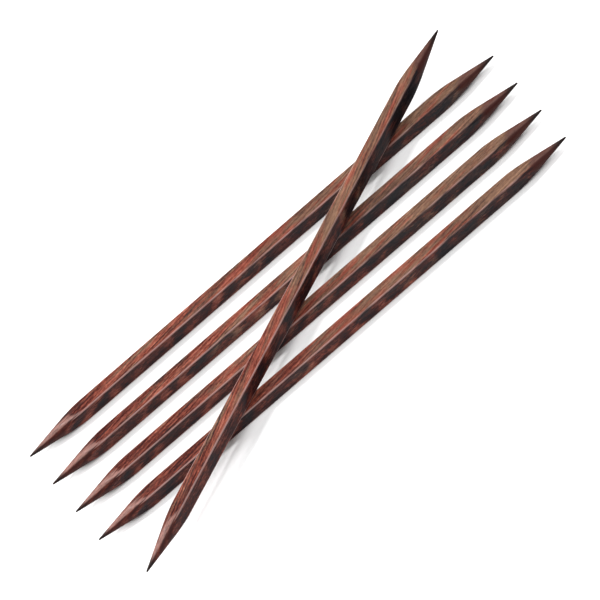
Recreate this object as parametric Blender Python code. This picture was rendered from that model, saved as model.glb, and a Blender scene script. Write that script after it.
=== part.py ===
"""Wooden knitting needles, square in section and pointed at both ends.

A row of parallel needles lies on the ground and one more needle lies across the row.
Metres, +Z up. +X runs along the row's needles, and the origin is the middle of the base.
"""

import math

import bmesh
import bpy
from mathutils import Vector

# One needle
NEEDLE_LENGTH = 0.200  # from point to point
NEEDLE_SIDE = 0.0050  # across the flats
EDGE_RADIUS = 0.00030  # of the four long edges
NOSE_RADIUS = 0.00030  # of the rounded tip
POINT_HALF_ANGLE = math.radians(8.8)  # of the turned cone
CONE_LENGTH = 0.0147  # from the tip to the start of the shoulder
SHOULDER_RADIUS = 0.080  # of the arc that swells the cone out to the corners

# The arrangement
ROW_COUNT = 4
ROW_STEP = Vector((0.0020, -0.0161, 0.0))  # from one needle of the row to the next
ROW_MIDDLE = Vector((0.0, 0.0049, 0.0))
CROSSING_ANGLE = math.radians(29.3)  # from the row's direction
CONTACT_GAP = 0.0003  # between the row and the needle that lies on it

# Making
BAR_SPARE = 0.005  # that the bar stands past each point before it is turned
POINT_SIDES = 32
NOSE_STEPS = 3
SHOULDER_STEPS = 6
EDGE_SEGMENTS = 3
MERGE_DISTANCE = 1e-7
SMOOTH_ANGLE = math.radians(30)

WOOD_COLOUR = (0.12, 0.04, 0.03, 1.0)
WOOD_ROUGHNESS = 0.3


def clear_scene():
    for obj in list(bpy.data.objects):
        bpy.data.objects.remove(obj, do_unlink=True)


def helper(name, mesh):
    """An object that shapes the needle and isn't part of it."""
    obj = bpy.data.objects.new(name, mesh)
    obj.hide_render = True
    obj.display_type = "WIRE"
    bpy.context.scene.collection.objects.link(obj)
    return obj


def square_bar():
    """The planed bar: square, with rounded long edges, and a little longer than the needle."""
    bm = bmesh.new()
    bmesh.ops.create_cube(bm, size=1.0)
    size = Vector((NEEDLE_LENGTH + 2 * BAR_SPARE, NEEDLE_SIDE, NEEDLE_SIDE))
    bmesh.ops.scale(bm, vec=size, verts=bm.verts)
    long_edges = [edge for edge in bm.edges if edge.calc_length() > NEEDLE_LENGTH]
    bmesh.ops.bevel(
        bm,
        geom=long_edges,
        offset=EDGE_RADIUS,
        segments=EDGE_SEGMENTS,
        profile=0.5,
        affect="EDGES",
    )
    mesh = bpy.data.meshes.new("square_bar")
    bm.to_mesh(mesh)
    bm.free()
    return mesh


def point_outline():
    """(distance from the tip, radius) along a turned point: round nose, straight cone, shoulder arc."""
    outline = []
    for step in range(NOSE_STEPS + 1):
        turn = (math.pi / 2 - POINT_HALF_ANGLE) * step / NOSE_STEPS
        outline.append((NOSE_RADIUS * (1 - math.cos(turn)), NOSE_RADIUS * math.sin(turn)))
    nose_end, nose_end_radius = outline[-1]
    cone_radius = nose_end_radius + (CONE_LENGTH - nose_end) * math.tan(POINT_HALF_ANGLE)
    centre_distance = CONE_LENGTH + SHOULDER_RADIUS * math.sin(POINT_HALF_ANGLE)
    centre_radius = cone_radius - SHOULDER_RADIUS * math.cos(POINT_HALF_ANGLE)
    for step in range(SHOULDER_STEPS + 1):
        slope = POINT_HALF_ANGLE * (1 - step / SHOULDER_STEPS)
        distance = centre_distance - SHOULDER_RADIUS * math.sin(slope)
        outline.append((distance, centre_radius + SHOULDER_RADIUS * math.cos(slope)))
    return outline


def turned_envelope():
    """The lathe shape that cuts both points. Its middle stands clear of the bar's corners."""
    half = NEEDLE_LENGTH / 2
    near = [(distance - half, radius) for distance, radius in point_outline()]
    far = [(-x, radius) for x, radius in reversed(near)]
    bm = bmesh.new()
    profile = [bm.verts.new((x, 0.0, radius)) for x, radius in near + far]
    edges = [bm.edges.new(pair) for pair in zip(profile, profile[1:])]
    bmesh.ops.spin(
        bm,
        geom=profile + edges,
        axis=(1.0, 0.0, 0.0),
        cent=(0.0, 0.0, 0.0),
        angle=math.tau,
        steps=POINT_SIDES,
        use_merge=True,
    )
    bmesh.ops.remove_doubles(bm, verts=bm.verts, dist=MERGE_DISTANCE)
    bmesh.ops.recalc_face_normals(bm, faces=bm.faces)
    mesh = bpy.data.meshes.new("turned_envelope")
    bm.to_mesh(mesh)
    bm.free()
    return mesh


def needle_mesh():
    """The bar with both ends turned to a point, lengthwise along X and centred on its middle."""
    bar = helper("needle_bar", square_bar())
    envelope = helper("needle_envelope", turned_envelope())
    turning = bar.modifiers.new("turned points", "BOOLEAN")
    turning.operation = "INTERSECT"
    turning.solver = "EXACT"
    turning.object = envelope
    bpy.context.view_layer.update()
    mesh = bpy.data.meshes.new_from_object(bar.evaluated_get(bpy.context.evaluated_depsgraph_get()))
    for obj in (bar, envelope):
        bpy.data.objects.remove(obj, do_unlink=True)
    mesh.name = "needle"
    mesh.materials.append(None)
    mesh.shade_smooth()
    mesh.set_sharp_from_angle(angle=SMOOTH_ANGLE)
    return mesh


def wood(name):
    material = bpy.data.materials.new(name)
    material.use_nodes = True
    shader = material.node_tree.nodes["Principled BSDF"]
    shader.inputs["Base Color"].default_value = WOOD_COLOUR
    shader.inputs["Roughness"].default_value = WOOD_ROUGHNESS
    shader.inputs["Metallic"].default_value = 0.0
    return material


def add_needle(name, mesh, parent, location, angle=0.0):
    """One needle in its own wood. Its origin is on its axis, halfway along it."""
    needle = bpy.data.objects.new(name, mesh)
    bpy.context.scene.collection.objects.link(needle)
    needle.parent = parent
    needle.location = location
    needle.rotation_euler.z = angle
    slot = needle.material_slots[0]
    slot.link = "OBJECT"
    slot.material = wood(name + "_wood")
    return needle


def main():
    clear_scene()
    mesh = needle_mesh()
    base = bpy.data.objects.new("needle_set", None)
    bpy.context.scene.collection.objects.link(base)
    axis_height = NEEDLE_SIDE / 2
    for number in range(ROW_COUNT):
        place = ROW_MIDDLE + ROW_STEP * (number - (ROW_COUNT - 1) / 2)
        place.z = axis_height
        add_needle(f"parallel_needle_{number + 1}", mesh, base, place)
    across = Vector((0.0, 0.0, NEEDLE_SIDE + CONTACT_GAP + axis_height))
    add_needle("crossing_needle", mesh, base, across, CROSSING_ANGLE)


main()
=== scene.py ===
"""Looks of the square wooden knitting needles: fine meshes, dyed laminated wood, pale floor and studio light.

Metres, +Z up, in the CAD model's frame. Each needle is made along its own X axis, then laid where its CAD
node lies.
"""

import math

import bmesh
import bpy
import numpy as np
from mathutils import Matrix, Vector


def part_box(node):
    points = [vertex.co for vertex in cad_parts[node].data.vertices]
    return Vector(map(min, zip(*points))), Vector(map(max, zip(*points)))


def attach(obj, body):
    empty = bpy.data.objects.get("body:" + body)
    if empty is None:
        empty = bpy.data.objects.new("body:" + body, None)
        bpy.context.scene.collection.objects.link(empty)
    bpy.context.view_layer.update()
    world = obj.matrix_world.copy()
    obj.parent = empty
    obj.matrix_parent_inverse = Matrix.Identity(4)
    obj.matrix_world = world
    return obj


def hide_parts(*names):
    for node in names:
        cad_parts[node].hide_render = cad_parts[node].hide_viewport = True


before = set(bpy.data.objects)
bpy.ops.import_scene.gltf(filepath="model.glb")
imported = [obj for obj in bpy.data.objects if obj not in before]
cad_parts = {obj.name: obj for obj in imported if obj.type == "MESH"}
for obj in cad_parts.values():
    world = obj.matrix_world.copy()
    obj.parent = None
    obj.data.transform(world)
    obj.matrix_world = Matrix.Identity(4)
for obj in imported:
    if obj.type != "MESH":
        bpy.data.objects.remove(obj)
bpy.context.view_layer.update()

MM = 0.001
NEEDLES = sorted(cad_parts)

# The turned points and the long edges
NOSE_RADIUS = 0.30 * MM
POINT_HALF_ANGLE = math.radians(8.8)
CONE_LENGTH = 14.7 * MM
SHOULDER_RADIUS = 80 * MM
SHOULDER_FLARE = 0.05  # slope at which the turned shape widens past the shoulder, clear of the corners
EDGE_RADIUS = 0.32 * MM
TURNING_OFFSET = 0.05 * MM  # how far each point was turned off the bar's axis
TONGUE_SOFTNESS = 0.05 * MM  # blends the flats into the turned points
TIP_SOFTNESS = 0.05  # the most that this blend may be, as a share of the distance from the tip

# How the radius of the long edges strays along a needle, and the seed of this and of the turning
EDGE_WANDER = 0.05 * MM
WANDER_WAVES = 4
WANDER_HEIGHTS = (0.5, 1.0)
WANDER_LENGTHS = (15, 60)  # millimetres
MESH_SEED = 40

# Fineness of the meshes
SIDES = 4
FLAT_STEPS = 16
EDGE_STEPS = 6
EDGE_HALF_TURN = math.radians(4.6)  # that the finer steps cover on each side of a long edge
NOSE_RINGS = 8
POINT_SPAN = 29 * MM
POINT_RING_STEP = 0.35 * MM
BODY_RING_STEP = 1.5 * MM


# ---------------------------------------------------------------- shape


def place_of(node):
    """(middle, direction, length) of a CAD needle, from its two points."""
    corners = [vertex.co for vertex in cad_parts[node].data.vertices]
    middle = sum(corners, Vector()) / len(corners)
    near = max(corners, key=lambda corner: (corner - middle).length)
    far = max(corners, key=lambda corner: (corner - near).length)
    if far.x < near.x:
        near, far = far, near
    return (near + far) / 2, (far - near).normalized(), (far - near).length


def square_reach(turns, half_side, edge_radii):
    """Distances from the axis to the side of a square with rounded corners, at these angles."""
    across, along = np.abs(np.cos(turns)), np.abs(np.sin(turns))
    flat = half_side / np.maximum(across, along)
    inner = half_side - edge_radii
    under_root = edge_radii**2 - (inner * (across - along)) ** 2
    corner = inner * (across + along) + np.sqrt(np.maximum(under_root, 0))
    on_flat = flat * np.minimum(across, along) <= inner
    return np.where(on_flat, flat, corner)


def turned_reach(distance):
    """Radius of the turned point at this distance from its tip. Past the shoulder it clears the corners."""
    sine, cosine = math.sin(POINT_HALF_ANGLE), math.cos(POINT_HALF_ANGLE)
    nose_end = NOSE_RADIUS * (1 - sine)
    cone_end_radius = NOSE_RADIUS * cosine + (CONE_LENGTH - nose_end) * sine / cosine
    shoulder_top = CONE_LENGTH + SHOULDER_RADIUS * sine
    if distance < nose_end:
        return math.sqrt(max(2 * NOSE_RADIUS * distance - distance**2, 0))
    if distance < CONE_LENGTH:
        return NOSE_RADIUS * cosine + (distance - nose_end) * sine / cosine
    below_top = min(distance, shoulder_top) - shoulder_top
    arc = math.sqrt(SHOULDER_RADIUS**2 - below_top**2) - SHOULDER_RADIUS * cosine
    clearance = SHOULDER_FLARE * max(distance - shoulder_top, 0)
    return cone_end_radius + arc + clearance


def smooth_minimum(first, second, softness):
    share = np.clip(0.5 + 0.5 * (second - first) / softness, 0, 1)
    return second * (1 - share) + first * share - softness * share * (1 - share)


def ring_turns():
    """Angles round a ring: even steps across each flat and finer ones round each long edge."""
    flat_half = math.pi / 4 - EDGE_HALF_TURN
    turns = []
    for side in range(SIDES):
        middle = side * math.pi / 2
        turns += list(np.linspace(middle - flat_half, middle + flat_half, FLAT_STEPS + 1))
        corner = middle + math.pi / 4
        edge = np.linspace(corner - EDGE_HALF_TURN, corner + EDGE_HALF_TURN, EDGE_STEPS + 1)
        turns += list(edge[1:-1])
    return np.array(turns)


def ring_distances(half_length):
    """Distances of the rings from the nearer tip, from one tip to the middle."""
    nose_turns = np.linspace(0, math.pi / 2 - POINT_HALF_ANGLE, NOSE_RINGS + 1)[1:]
    nose = NOSE_RADIUS * (1 - np.cos(nose_turns))
    point = np.arange(nose[-1] + POINT_RING_STEP, POINT_SPAN, POINT_RING_STEP)
    body_count = round((half_length - POINT_SPAN) / BODY_RING_STEP)
    body = np.linspace(POINT_SPAN, half_length, body_count + 1)
    return np.concatenate([nose, point, body])


def edge_wander(rng):
    """How far one long edge's radius strays, slowly along the needle, as a function of x."""
    waves = []
    for _ in range(WANDER_WAVES):
        height = rng.uniform(*WANDER_HEIGHTS)
        length = rng.uniform(*WANDER_LENGTHS) * MM
        waves.append((height, length, rng.uniform(0, math.tau)))
    whole = sum(height for height, _, _ in waves)

    def wander(x):
        swell = sum(height * math.sin(math.tau * x / length + phase) for height, length, phase in waves)
        return EDGE_WANDER * swell / whole

    return wander


def ring_reach(turns, distance, half_side, edge_radii, offset):
    """Distances from the axis to the needle's surface at these angles, on the ring this far from its tip."""
    offset = offset * min(distance / CONE_LENGTH, 1)
    turned = turned_reach(distance) + np.cos(turns) * offset[0] + np.sin(turns) * offset[1]
    softness = min(TONGUE_SOFTNESS, distance * TIP_SOFTNESS)
    return smooth_minimum(square_reach(turns, half_side, edge_radii), turned, softness)


def add_skin(bm, rings, half_length):
    """Faces between the rings, and a fan to the tip at each end."""
    count = len(rings[0])
    for ring, following in zip(rings, rings[1:]):
        for i in range(count):
            j = (i + 1) % count
            bm.faces.new((ring[i], ring[j], following[j], following[i]))
    for ring, x in ((rings[0], -half_length), (rings[-1], half_length)):
        tip = bm.verts.new((x, 0.0, 0.0))
        for i in range(count):
            bm.faces.new((tip, ring[i], ring[(i + 1) % count]))
    bmesh.ops.recalc_face_normals(bm, faces=bm.faces)


def needle_mesh(name, length, side, rng):
    """A closed needle mesh along X, centred on its middle."""
    half_length = length / 2
    distances = ring_distances(half_length)
    xs = np.concatenate([distances - half_length, (half_length - distances)[-2::-1]])
    turns = ring_turns()
    wanders = [edge_wander(rng) for _ in range(SIDES)]
    offsets = [TURNING_OFFSET * np.array((math.cos(a), math.sin(a))) for a in rng.uniform(0, math.tau, 2)]
    nearest_edge = np.floor(np.mod(turns, math.tau) / (math.pi / 2)).astype(int) % SIDES
    bm = bmesh.new()
    rings = []
    for x in xs:
        edge_radii = np.array([EDGE_RADIUS + wander(x) for wander in wanders])[nearest_edge]
        offset = offsets[0 if x < 0 else 1]
        reach = ring_reach(turns, half_length - abs(x), side / 2, edge_radii, offset)
        places = [(x, r * math.cos(turn), r * math.sin(turn)) for r, turn in zip(reach, turns)]
        rings.append([bm.verts.new(place) for place in places])
    add_skin(bm, rings, half_length)
    mesh = bpy.data.meshes.new(name)
    bm.to_mesh(mesh)
    bm.free()
    mesh.shade_smooth()
    return mesh


# ---------------------------------------------------------------- wood


# The dyes, from the darkest fibres to the palest: the tone at which each colour stands, and the colour
RED_DYE = (
    (0.10, (0.009, 0.006, 0.008, 1)),
    (0.38, (0.047, 0.0100, 0.0078, 1)),
    (0.66, (0.191, 0.048, 0.031, 1)),
    (0.95, (0.395, 0.152, 0.102, 1)),
)
BROWN_DYE = (
    (0.10, (0.009, 0.008, 0.010, 1)),
    (0.38, (0.036, 0.019, 0.017, 1)),
    (0.66, (0.151, 0.081, 0.051, 1)),
    (0.95, (0.315, 0.182, 0.116, 1)),
)
# Darker colour of the points: all round at the +X end, and painted shade on the lower side of the -X end
DARK_POINT_AND_PAINTED_SHADE = (0.043, 0.0088, 0.0062, 1)
# Painted highlight: a pale colour on the upper side of the points, where the lamps' sheen would fall
PAINTED_HIGHLIGHT_GRAIN = (0.280, 0.152, 0.130, 1)
# Paler long edges: wear, and a painted highlight along the ridge
WORN_EDGE_AND_HIGHLIGHT = (0.350, 0.210, 0.190, 1)
DARK_TIP = (0.007, 0.004, 0.004, 1)
LACQUER_SPECULAR = 0.14
RELIEF = 0.04 * MM  # of the fibres and flecks under the lacquer
RELIEF_STRENGTH = 0.25
FIBRE_HEIGHT, FLECK_HEIGHT = 0.6, -0.4

# From here to the end of the wood, lengths are in millimetres, and places along a needle are from its middle

# The noises: waves to the millimetre lengthwise, through the plies and along them, then the noise's own
# fourth coordinate, its detail and its roughness
GRAINS = {
    "fibre": ((0.30, 2.8, 2.8), 6.0, 3.0, 0.7),
    "fleck": ((0.90, 2.9, 2.9), 9.0, 2.0, 0.7),
    "figure": ((0.07, 0.70, 0.50), 15.0, 2.0, 0.6),
    "hue": ((0.08, 0.55, 0.40), 30.0, 2.0, 0.6),
    "patch": ((0.035, 0.16, 0.12), 3.0, 2.0, 0.5),
    "warp": ((0.045, 0.24, 0.20), 0.0, 2.0, 0.5),
    "depth_of_dye": ((0.05, 0.35, 0.20), 20.0, 2.0, 0.5),
}

# The plies. Warp and feathering are in plies, and contrast is in tone
PLY_THICKNESS = 0.68
PLY_NORMAL = (-0.13, 1.0, 0.13)  # nearly square to the two flanks, so that the plies run out slowly
PLY_WARP = 3.2
PLY_FEATHERING = 1.2
PAIR_CONTRAST = 0.12
PAIR_SEED_STEP = 17  # sets one needle's pairs of plies apart from the next needle's

# Changes: where one starts and ends, and its values there unless it goes from 0 to 1. The top's are the
# underside's too, and the flanks are the other two flats.
# Changes by place along the needle
TOP_LEVEL = (-85.0, -33.0, 0.423, 0.542)  # of tone
TOP_RISE = (-12.0, 25.0, 0.0, 0.040)
# The flanks' level is set below the top's: painted shade on the flanks
FLANK_LEVEL = (-20.0, 70.0, 0.367, 0.283)
CONTRAST_FADE = (-60.0, 20.0, 0.85, 0.52)  # on the top
BROWN_RISE = (12.0, 38.0, 0.0, 0.16)
TURNED_START = (70.0, 76.0)
# Painted shade on the lower side of the -X point
LOWER_PAINTED_SHADE = (0.0, -70.0, 0.0, 0.55)
END_DARKENING = (85.2, 87.8, 0.0, 0.85)
# Painted highlight on the upper side of the points, at each end
END_HIGHLIGHT = (85.2, 87.8, 0.0, 0.25)
TONGUE_HIGHLIGHT = (79.6, 82.8)  # towards -X
TIP_DARKENING = (-7.0, -2.0, 0.0, 0.9)  # from the tip

# Changes by place across the needle
TOP_TURN = (-0.10, 0.20)  # from the flanks to the top
TURNED_BELOW_FLAT = (-0.02, -0.16)
EDGE_BELOW_FLAT = (-0.47, -0.29)
# Across the points: where the painted shade (lower side) and the painted highlight (upper side) fall
LOWER_SIDE = (0.40, -0.15)
UPPER_SIDE = (-0.15, 0.40, 0.0, 0.80)
NEAR_SIDE = (0.0, 1.0, 1.0, 0.08)

# Changes by the level of a noise
PLY_CONTRAST = (0.32, 0.66, 0.02, 0.19)
BROWN_DRIFT = (-0.10, 0.85)
# The painted highlight on the points is broken up by the fibres
FIBRE_HIGHLIGHT = (0.3, 0.6, 0.45, 1.0)
# The long edges' paleness, both wear and painted highlight, varies with the figure
EDGE_WEAR_AND_HIGHLIGHT = (0.22, 0.60, 0.05, 0.64)
LACQUER_ROUGHNESS = (0.3, 0.7, 0.22, 0.32)

FLANK_FINE_CONTRAST, FLANK_COARSE_CONTRAST = 0.72, 0.95
TOP_COARSE_SHARE = 0.88
TOP_BROWN = 0.30  # how much browner the top is
BROWN_SLOPE = 0.0048  # to the millimetre along the needle
# The edges' wear and painted highlight fade towards +X at this slope
WEAR_AND_HIGHLIGHT_SLOPE = -0.0018  # to the millimetre along the needle
END_SLANT = -0.7  # of the line where the darkening and the painted highlight start at +X, to the millimetre across the needle
TONGUE_BEND = 1.1  # of the line where the painted highlight starts at -X, which leaves a tongue of the flat without it
PAINTED_LIGHT_DIRECTION = (0.0, 0.78, 0.62)  # the side of a point that the painted highlight faces, with the painted shade on the opposite side
TURNED_ROUGHNESS = 0.25  # added to the lacquer's


class Nodes:
    """Short names for adding shader nodes to one material."""

    def __init__(self, name):
        self.material = bpy.data.materials.new(name)
        self.material.use_nodes = True
        self.tree = self.material.node_tree
        self.shader = self.tree.nodes["Principled BSDF"]

    def add(self, kind, inputs=None, **settings):
        node = self.tree.nodes.new(kind)
        for key, value in settings.items():
            setattr(node, key, value)
        for key, value in (inputs or {}).items():
            self.feed(node.inputs[key], value)
        return node

    def feed(self, socket, value):
        if isinstance(value, bpy.types.NodeSocket):
            self.tree.links.new(value, socket)
        else:
            socket.default_value = value

    def math(self, operation, *values):
        node = self.add("ShaderNodeMath", operation=operation)
        for socket, value in zip(node.inputs, values):
            self.feed(socket, value)
        return node.outputs[0]

    def vector(self, operation, *values):
        node = self.add("ShaderNodeVectorMath", operation=operation)
        for socket, value in zip(node.inputs, values):
            self.feed(socket, value)
        return node.outputs["Value" if operation == "DOT_PRODUCT" else "Vector"]

    def total(self, first, *others):
        for value in others:
            first = self.math("ADD", first, value)
        return first

    def product(self, first, *others):
        for value in others:
            first = self.math("MULTIPLY", first, value)
        return first

    def centred(self, value, gain):
        """A value that swings about 0.5 made to swing about 0, with this gain."""
        return self.product(self.math("SUBTRACT", value, 0.5), gain)

    def blend(self, share, first, second):
        """The number first where share is 0, and the number second where it is 1."""
        return self.math("MULTIPLY_ADD", share, self.math("SUBTRACT", second, first), first)

    def span(self, value, low, high, to_low=0.0, to_high=1.0):
        """value rescaled smoothly from low..high to to_low..to_high, and held at the ends."""
        inputs = {"Value": value, "From Min": low, "From Max": high, "To Min": to_low, "To Max": to_high}
        return self.add("ShaderNodeMapRange", inputs, interpolation_type="SMOOTHSTEP").outputs["Result"]

    def mix(self, share, first, second):
        """The colour first where share is 0, and the colour second where it is 1."""
        node = self.add("ShaderNodeMix", data_type="RGBA", blend_type="MIX")
        for number, value in ((0, share), (6, first), (7, second)):
            self.feed(node.inputs[number], value)
        return node.outputs[2]

    def ramp(self, tone, stops):
        """The colour at this tone between (tone, colour) stops."""
        node = self.add("ShaderNodeValToRGB", {"Fac": tone})
        elements = node.color_ramp.elements
        elements[0].position, elements[0].color = stops[0]
        elements[1].position, elements[1].color = stops[-1]
        for position, colour in stops[1:-1]:
            elements.new(position).color = colour
        return node.outputs["Color"]


class Wood(Nodes):
    """A needle's material, with the places and the noises that its colours are worked out from."""

    def __init__(self, name, seed, length, side):
        super().__init__(name)
        self.seed = seed
        self.half_length, self.half_side = length / 2 / MM, side / 2 / MM
        place = self.add("ShaderNodeTexCoord").outputs["Object"]
        self.point = self.vector("SCALE", place)
        self.feed(self.point.node.inputs["Scale"], 1 / MM)
        axes = self.add("ShaderNodeSeparateXYZ", {"Vector": self.point}).outputs
        self.along, self.across = axes["X"], axes["Y"]
        unsigned = [self.math("ABSOLUTE", axes[key]) for key in "XYZ"]
        self.from_middle, self.sideways, self.vertical = unsigned
        self.depth = self.vector("DOT_PRODUCT", self.point, PLY_NORMAL)
        inputs = {"X": axes["X"], "Y": self.depth, "Z": axes["Z"]}
        self.plank = self.add("ShaderNodeCombineXYZ", inputs).outputs["Vector"]
        self.grains = {kind: self.grain(*settings) for kind, settings in GRAINS.items()}

        # Shares: of the top against the flanks, and of the turned points against the bar
        self.top = self.span(self.math("SUBTRACT", self.vertical, self.sideways), *TOP_TURN)
        off_axis = self.math("MAXIMUM", self.sideways, self.vertical)
        turned = self.span(off_axis, *self.below_flat(TURNED_BELOW_FLAT))
        self.turned = self.product(turned, self.span(self.from_middle, *TURNED_START))

    def grain(self, waves, fourth, detail, roughness):
        """Noise in the plank's own directions."""
        inputs = {"Vector": self.vector("MULTIPLY", self.plank, waves), "W": self.seed + fourth, "Scale": 1.0}
        inputs.update({"Detail": detail, "Roughness": roughness})
        return self.add("ShaderNodeTexNoise", inputs, noise_dimensions="4D").outputs["Fac"]

    def swings(self, **gains):
        """The named noises, each swinging about 0 with its gain."""
        return [self.centred(self.grains[name], gain) for name, gain in gains.items()]

    def below_flat(self, places):
        """Distances from the axis, from places given against the flats."""
        return [self.half_side + place for place in places]


def ply_swings(wood):
    """What the plies add to the tone. They are dark and light in turn, waving, with feathered joints."""
    warp = wood.total(*wood.swings(warp=PLY_WARP, fibre=PLY_FEATHERING))
    ply = wood.total(wood.math("DIVIDE", wood.depth, PLY_THICKNESS), warp)
    contrast = wood.span(wood.grains["depth_of_dye"], *PLY_CONTRAST)
    swing = wood.product(wood.math("SINE", wood.product(ply, math.pi)), contrast)
    pair = wood.math("FLOOR", wood.product(ply, 0.5))
    inputs = {"W": wood.total(pair, wood.seed * PAIR_SEED_STEP)}
    dye = wood.add("ShaderNodeTexWhiteNoise", inputs, noise_dimensions="1D").outputs["Value"]
    return [swing, wood.centred(dye, PAIR_CONTRAST)]


def wood_tone(wood, painted_flank_shade):
    """The tone, from 0 near black to 1 pale. The top cuts across the plies, and the flanks are set darker
    than the top as painted shade.
    """
    top_level = wood.total(wood.span(wood.along, *TOP_LEVEL), wood.span(wood.along, *TOP_RISE))
    # Painted shade: the flanks' level sits below the top's, and lower still on the raised needle
    flank_level = wood.math("SUBTRACT", wood.span(wood.along, *FLANK_LEVEL), painted_flank_shade)
    fade = wood.span(wood.along, *CONTRAST_FADE)
    fine = wood.total(*wood.swings(fibre=1.0, fleck=1.0))
    coarse = wood.total(*ply_swings(wood), *wood.swings(patch=0.6, figure=0.75, hue=-0.4))
    fine_contrast = wood.blend(wood.top, FLANK_FINE_CONTRAST, fade)
    coarse_contrast = wood.blend(wood.top, FLANK_COARSE_CONTRAST, wood.product(fade, TOP_COARSE_SHARE))
    tone = wood.blend(wood.top, flank_level, top_level)
    tone = wood.math("MULTIPLY_ADD", fine, fine_contrast, tone)
    return wood.math("MULTIPLY_ADD", coarse, coarse_contrast, tone)


def dyed(wood, tone):
    """The colour of the dye at this tone. It is browner on the top and towards +X."""
    slope = wood.product(wood.along, BROWN_SLOPE)
    lean = wood.total(slope, wood.span(wood.along, *BROWN_RISE), *wood.swings(patch=1.4, hue=3.6))
    brown = wood.span(wood.math("MULTIPLY_ADD", wood.top, TOP_BROWN, lean), *BROWN_DRIFT)
    return wood.mix(brown, wood.ramp(tone, RED_DYE), wood.ramp(tone, BROWN_DYE))


def dark_points_painted_shade_and_highlight(wood, colour):
    """The turned points are darker all round at the +X end, and painted shade darkens the lower side at the
    other.

    A painted highlight makes them paler on the upper side, most of all at the -X end, and there a little way
    onto the flat.
    """
    painted_light_height = wood.vector("DOT_PRODUCT", wood.point, PAINTED_LIGHT_DIRECTION)
    slanted = wood.math("MULTIPLY_ADD", wood.across, END_SLANT, wood.along)
    slanted = wood.total(slanted, *wood.swings(figure=4.0, fibre=4.0))
    # Painted shade on the lower side of the -X point
    below = wood.product(wood.span(wood.along, *LOWER_PAINTED_SHADE), wood.span(painted_light_height, *LOWER_SIDE))
    darkened = wood.math("MAXIMUM", wood.product(wood.turned, below), wood.span(slanted, *END_DARKENING))
    colour = wood.mix(darkened, colour, DARK_POINT_AND_PAINTED_SHADE)

    bend = wood.product(wood.sideways, wood.sideways)
    tongue = wood.math("MULTIPLY_ADD", bend, TONGUE_BEND, wood.product(wood.along, -1.0))
    tongue = wood.total(tongue, *wood.swings(fibre=5.0))
    # Painted highlight: paler on the upper side of the points, fading towards the far side
    above = wood.product(wood.span(painted_light_height, *UPPER_SIDE), wood.span(wood.across, *NEAR_SIDE))
    highlight = wood.math("MAXIMUM", wood.span(tongue, *TONGUE_HIGHLIGHT), wood.span(slanted, *END_HIGHLIGHT))
    fibres = wood.span(wood.total(wood.grains["fibre"], *wood.swings(fleck=0.5)), *FIBRE_HIGHLIGHT)
    return wood.mix(wood.product(above, highlight, fibres), colour, PAINTED_HIGHLIGHT_GRAIN)


def edges_worn_and_painted_highlight(wood, colour):
    """The long edges are paler, less so towards +X: partly the dye worn off, and partly a painted highlight
    along the ridge.
    """
    off_centre = wood.math("MINIMUM", wood.sideways, wood.vertical)
    edge = wood.span(off_centre, *wood.below_flat(EDGE_BELOW_FLAT))
    wear_and_highlight = wood.math("MULTIPLY_ADD", wood.along, WEAR_AND_HIGHLIGHT_SLOPE, wood.grains["figure"])
    return wood.mix(wood.product(edge, wood.span(wear_and_highlight, *EDGE_WEAR_AND_HIGHLIGHT)), colour, WORN_EDGE_AND_HIGHLIGHT)


def dark_tips(wood, colour):
    reach = wood.total(wood.from_middle, *wood.swings(figure=6.0))
    start, end, none, most = TIP_DARKENING
    share = wood.span(reach, wood.half_length + start, wood.half_length + end, none, most)
    return wood.mix(share, colour, DARK_TIP)


def dyed_wood(name, seed, length, side, painted_flank_shade):
    """Wood laminated from thin dyed plies that run nearly lengthwise, under a satin lacquer.

    The last argument is painted shade: how much darker its flanks are than those of the other needles.
    """
    wood = Wood(name, seed, length, side)
    colour = dyed(wood, wood_tone(wood, painted_flank_shade))
    for change in (dark_points_painted_shade_and_highlight, edges_worn_and_painted_highlight, dark_tips):
        colour = change(wood, colour)
    lacquer = wood.span(wood.grains["figure"], *LACQUER_ROUGHNESS)
    fibres = wood.product(wood.grains["fibre"], FIBRE_HEIGHT)
    height = wood.total(fibres, wood.product(wood.grains["fleck"], FLECK_HEIGHT))
    bump = wood.add("ShaderNodeBump", {"Height": height, "Strength": RELIEF_STRENGTH, "Distance": RELIEF})
    inputs = wood.shader.inputs
    wood.feed(inputs["Base Color"], colour)
    wood.feed(inputs["Roughness"], wood.math("MULTIPLY_ADD", wood.turned, TURNED_ROUGHNESS, lacquer))
    wood.feed(inputs["Normal"], bump.outputs["Normal"])
    wood.feed(inputs["Specular IOR Level"], LACQUER_SPECULAR)
    return wood.material


# ---------------------------------------------------------------- needles


FIRST_SEED, SEED_STEP = 2.0, 1.7
RAISED_SEED = 12.3
# Painted shade on the flanks of the needle that lies on the row, which catch more light from the floor
RAISED_PAINTED_SHADE = 0.038


def grain_of(number, raised):
    """(seed, painted shade on the flanks). Only the needle that lies on the row has this painted shade,
    against the floor light that reaches its flanks.
    """
    if raised:
        return RAISED_SEED, RAISED_PAINTED_SHADE
    return SEED_STEP * number + FIRST_SEED, 0.0


def make_needles():
    low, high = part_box("parallel_needle_1")
    side = high.z - low.z
    for number, node in enumerate(NEEDLES):
        middle, direction, length = place_of(node)
        mesh = needle_mesh(node + "_wood", length, side, np.random.default_rng(MESH_SEED + number))
        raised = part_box(node)[0].z > side / 2
        seed, painted_flank_shade = grain_of(number, raised)
        mesh.materials.append(dyed_wood(node + "_dyed_wood", seed, length, side, painted_flank_shade))
        needle = bpy.data.objects.new(node + "_fine", mesh)
        bpy.context.scene.collection.objects.link(needle)
        upwards = Vector((0, 0, 1))
        turn = Matrix((direction, upwards.cross(direction), upwards)).transposed().to_4x4()
        needle.matrix_world = Matrix.Translation(middle) @ turn
        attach(needle, node)
        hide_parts(node)


# ---------------------------------------------------------------- studio


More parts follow.
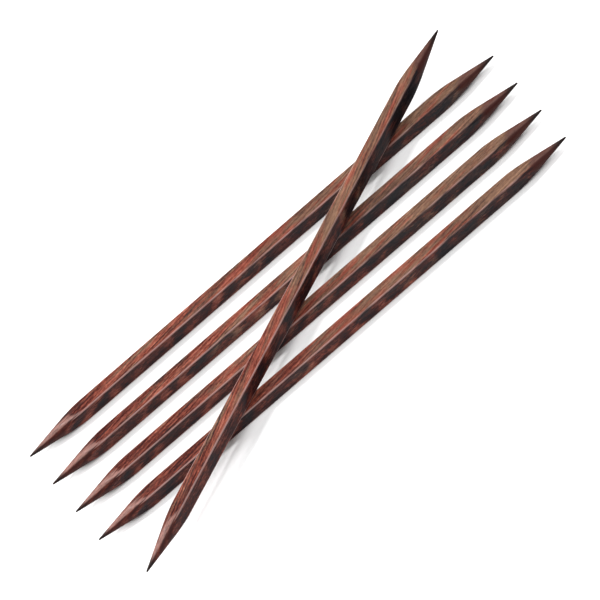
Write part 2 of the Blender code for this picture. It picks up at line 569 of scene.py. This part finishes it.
FLOOR_RADIUS = 12.0
FLOOR_SEGMENTS = 64
FLOOR_DROP = 0.05 * MM  # below the needles' undersides
FLOOR_COLOUR = (0.8, 0.8, 0.8, 1)

WORLD_LIGHT = 0.08
WORLD_SEEN = 1.05  # how bright the room looks behind the needles


def matt_floor():
    floor = Nodes("pale_floor")
    for key, value in (("Base Color", FLOOR_COLOUR), ("Roughness", 1.0), ("Specular IOR Level", 0.0)):
        floor.feed(floor.shader.inputs[key], value)
    return floor.material


def make_floor():
    bm = bmesh.new()
    bmesh.ops.create_circle(bm, cap_ends=True, segments=FLOOR_SEGMENTS, radius=FLOOR_RADIUS)
    mesh = bpy.data.meshes.new("floor")
    bm.to_mesh(mesh)
    bm.free()
    mesh.materials.append(matt_floor())
    floor = bpy.data.objects.new("floor", mesh)
    floor.location.z = -FLOOR_DROP
    bpy.context.scene.collection.objects.link(floor)


def make_sun(name, towards, strength, spread, glossy=True):
    """A lamp far away in the direction towards, seen as a disc spread degrees across."""
    lamp = bpy.data.lights.new(name, "SUN")
    lamp.energy = strength
    lamp.angle = math.radians(spread)
    sun = bpy.data.objects.new(name, lamp)
    sun.rotation_mode = "QUATERNION"
    sun.rotation_quaternion = Vector(towards).to_track_quat("Z", "Y")
    sun.visible_glossy = glossy
    bpy.context.scene.collection.objects.link(sun)


def make_world():
    """A white room, brighter to the camera than to the needles."""
    world = bpy.data.worlds.new("white_room")
    bpy.context.scene.world = world
    world.use_nodes = True
    nodes, links = world.node_tree.nodes, world.node_tree.links
    background = nodes["Background"]
    background.inputs["Color"].default_value = (1, 1, 1, 1)
    ray = nodes.new("ShaderNodeLightPath")
    strength = nodes.new("ShaderNodeMapRange")
    strength.inputs["To Min"].default_value = WORLD_LIGHT
    strength.inputs["To Max"].default_value = WORLD_SEEN
    links.new(ray.outputs["Is Camera Ray"], strength.inputs["Value"])
    links.new(strength.outputs["Result"], background.inputs["Strength"])


def make_light():
    make_sun("key_softbox", towards=(-0.36, 0.38, 0.85), strength=2.1, spread=13)
    # Kept out of reflections, because its glare blanches the tops in low views from the front right
    make_sun("low_back_softbox", towards=(-0.664, 0.664, 0.342), strength=5.1, spread=36, glossy=False)
    make_sun("overhead_softbox", towards=(0.08, -0.34, 0.93), strength=3.0, spread=70)
    make_world()


CAMERA_AZIMUTH = math.radians(14.6)
CAMERA_ELEVATION = math.radians(45)
CAMERA_ROLL = math.radians(51.26)
CAMERA_LENS = 1000.0  # millimetres, like the sensor
SENSOR_WIDTH = 36.0
VIEW_WIDTH = 0.1919  # across the view, at the needles
AIM = Vector((1.35, 0.65, 5.0)) * MM


def make_camera():
    """A camera so far back that parallel needles stay parallel in its view."""
    camera = bpy.data.cameras.new("camera")
    camera.lens = CAMERA_LENS
    camera.sensor_width = SENSOR_WIDTH
    distance = VIEW_WIDTH * CAMERA_LENS / SENSOR_WIDTH
    camera.clip_start, camera.clip_end = distance / 10, distance * 4
    sine, cosine = math.sin(CAMERA_AZIMUTH), math.cos(CAMERA_AZIMUTH)
    flat = math.cos(CAMERA_ELEVATION)
    back = Vector((sine * flat, -cosine * flat, math.sin(CAMERA_ELEVATION)))
    right = Vector((cosine, sine, 0))
    upright = Matrix((right, back.cross(right), back)).transposed().to_4x4()
    rolled = upright @ Matrix.Rotation(-CAMERA_ROLL, 4, "Z")
    holder = bpy.data.objects.new("camera", camera)
    holder.matrix_world = Matrix.Translation(AIM + back * distance) @ rolled
    bpy.context.scene.collection.objects.link(holder)
    bpy.context.scene.camera = holder


make_camera()
make_needles()
make_floor()
make_light()
bpy.context.scene.view_settings.view_transform = "Standard"

bpy.context.view_layer.update()
